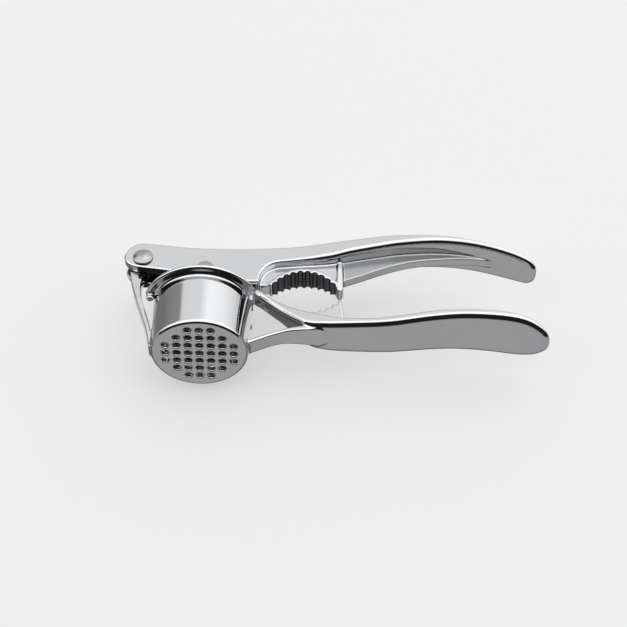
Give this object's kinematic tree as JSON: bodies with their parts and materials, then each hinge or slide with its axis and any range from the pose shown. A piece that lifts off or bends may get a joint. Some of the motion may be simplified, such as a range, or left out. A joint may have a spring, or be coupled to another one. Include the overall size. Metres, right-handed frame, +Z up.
{
  "type": "garlic press",
  "caption": "Hand-squeezed garlic press with a perforated round basket, a pivoting press foot and toothed nutcracker jaws between two curved handles.",
  "frame": {"origin": "centre of the part's box in X and Y, on the surface it lies on; the press lies on its side", "axes": "+X from the hinge to the handles' ends, +Y from the perforated plate up the basket to the upper arm, +Z up, along the hinge rivet"},
  "size_m": [0.151, 0.0508, 0.0418],
  "materials": {
    "bright_chrome": "bright chrome plate over a polished zinc casting, lightly worn",
    "satin_steel": "satin steel, turned head"
  },
  "bodies": {
    "arm": {"upper_arm": "bright_chrome", "hinge_rivet": "satin_steel", "foot_pin": "satin_steel"},
    "lower_body": {"lower_casting": "bright_chrome"},
    "foot": {"press_foot": "bright_chrome"}
  },
  "joints": [
    {"name": "handle_hinge", "type": "hinge", "parent": "arm", "child": "lower_body", "pos_m": [-0.06855, 0.01564, 0.02087], "axis": [0, 0, -1], "range_deg": [-0.8, 60]},
    {"name": "foot_pivot", "type": "hinge", "parent": "arm", "child": "foot", "pos_m": [-0.04585, 0.00994, 0.02087], "axis": [0, 0, -1], "range_deg": [-2, 57]}
  ],
  "couplings": [
    {"joint": "foot_pivot", "follows": "handle_hinge", "ratio": 0.94}
  ]
}
